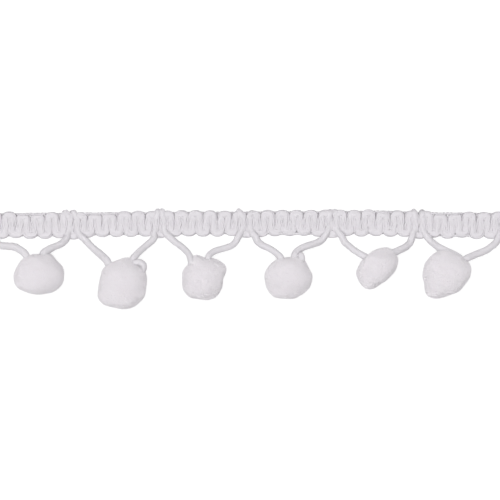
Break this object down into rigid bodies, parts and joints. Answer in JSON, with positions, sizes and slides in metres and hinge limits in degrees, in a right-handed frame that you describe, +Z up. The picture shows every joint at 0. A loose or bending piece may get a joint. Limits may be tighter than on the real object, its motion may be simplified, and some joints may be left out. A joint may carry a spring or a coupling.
{
  "type": "pompom fringe trim",
  "caption": "Short cut length of narrow braided trim lying flat, with soft cord swags along one edge and a round trimmed yarn pompom on each swag.",
  "frame": {"origin": "on the surface that the trim lies on, under the middle of its outline", "axes": "+X along the trim, +Y from the pompoms to the heading, +Z up out of the heading's face"},
  "size_m": [0.1178, 0.0212, 0.0093],
  "materials": {
    "braid_yarn": "matt white textured yarn, close ribs",
    "swag_cord": "soft white cord of low-twist filaments",
    "pompom_pile": "dense white cut yarn pile"
  },
  "bodies": {
    "root": {"heading": "braid_yarn", "swag_1": "swag_cord", "swag_2": "swag_cord", "swag_3": "swag_cord", "swag_4": "swag_cord", "swag_5": "swag_cord", "swag_6": "swag_cord", "pompom_1": "pompom_pile", "pompom_2": "pompom_pile", "pompom_3": "pompom_pile", "pompom_4": "pompom_pile", "pompom_5": "pompom_pile", "pompom_6": "pompom_pile"}
  },
  "joints": []
}
